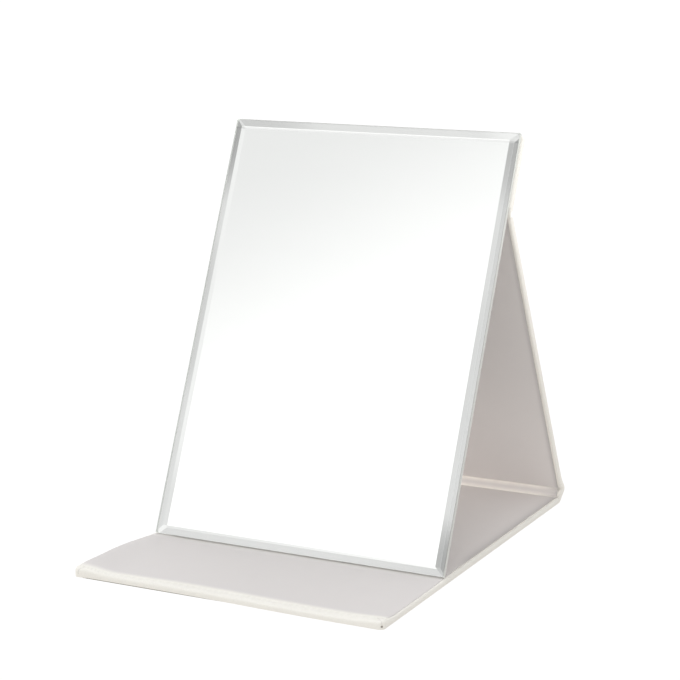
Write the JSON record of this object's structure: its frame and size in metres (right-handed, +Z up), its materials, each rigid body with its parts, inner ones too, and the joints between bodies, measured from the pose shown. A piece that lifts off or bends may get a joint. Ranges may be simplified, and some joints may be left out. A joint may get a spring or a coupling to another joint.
{
  "type": "folding easel mirror",
  "caption": "Bevelled rectangular tabletop mirror hung from a folding leatherette case whose panels stand up as a triangular easel.",
  "frame": {"origin": "on the table plane, under the centre of the standing mirror's bounding box", "axes": "+X to the right of someone facing the glass, +Y away from them towards the rear panel, +Z up"},
  "size_m": [0.182, 0.261, 0.2337],
  "materials": {
    "cover": "cream leatherette with a fine grain, satin",
    "lining": "smooth pale leatherette, matt",
    "board": "dense grey board, matt",
    "padding": "thin white foam sheet",
    "tape": "double-sided foam tape",
    "backing": "pale protective film, matt",
    "silver": "silver coat, polished",
    "glass": "clear float glass with a polished bevel"
  },
  "bodies": {
    "base": {"base_cover": "cover", "base_board": "board", "base_padding": "padding", "base_lining": "lining"},
    "spine": {"spine_cover": "cover", "spine_board": "board", "spine_padding": "padding", "spine_lining": "lining"},
    "rear": {"rear_cover": "cover", "rear_board": "board", "rear_padding": "padding", "rear_lining": "lining"},
    "mirror": {"strip_cover": "cover", "strip_board": "board", "strip_lining": "lining", "fixing_tapes": "tape", "backing_film": "backing", "silvering": "silver", "mirror_glass": "glass"}
  },
  "joints": [
    {"name": "foot_crease", "type": "hinge", "parent": "base", "child": "spine", "pos_m": [0, 0.12553, 0.0003], "axis": [-1, 0, 0], "range_deg": [0, 58]},
    {"name": "heel_crease", "type": "hinge", "parent": "spine", "child": "rear", "pos_m": [0, 0.13017, 0.00801], "axis": [-1, 0, 0], "range_deg": [-11, 22]},
    {"name": "top_crease", "type": "hinge", "parent": "rear", "child": "mirror", "pos_m": [0, 0.03229, 0.1893], "axis": [1, 0, 0], "range_deg": [-24.3, 48.5]}
  ],
  "couplings": [
    {"joint": "top_crease", "follows": "heel_crease", "ratio": 2.2}
  ]
}
